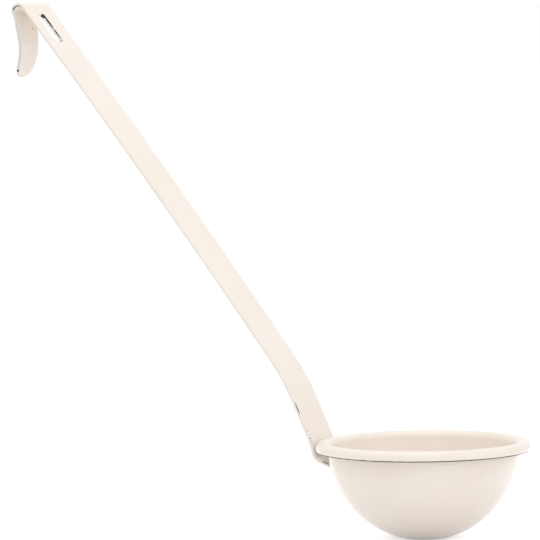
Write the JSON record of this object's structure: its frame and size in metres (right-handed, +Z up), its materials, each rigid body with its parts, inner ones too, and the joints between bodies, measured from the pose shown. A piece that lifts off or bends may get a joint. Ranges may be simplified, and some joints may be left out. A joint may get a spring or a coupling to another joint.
{
  "type": "soup ladle",
  "caption": "Enamelled steel soup ladle: a round bowl with a rolled rim, and a bent strip handle that ends in a folded hook.",
  "frame": {"origin": "middle of the flat under the bowl, on the surface that the ladle stands on", "axes": "+Z up along the bowl's axis, -X towards the handle, Y across the handle's width"},
  "size_m": [0.2683, 0.1, 0.2509],
  "materials": {
    "ground_coated_steel": "satin",
    "weld_steel": "satin",
    "cream_enamel": "gloss"
  },
  "bodies": {
    "root": {"bowl_shell": "ground_coated_steel", "handle_strip": "ground_coated_steel", "spot_welds": "weld_steel", "bowl_inner_enamel": "cream_enamel", "bowl_outer_enamel": "cream_enamel", "handle_enamel": "cream_enamel"}
  },
  "joints": []
}
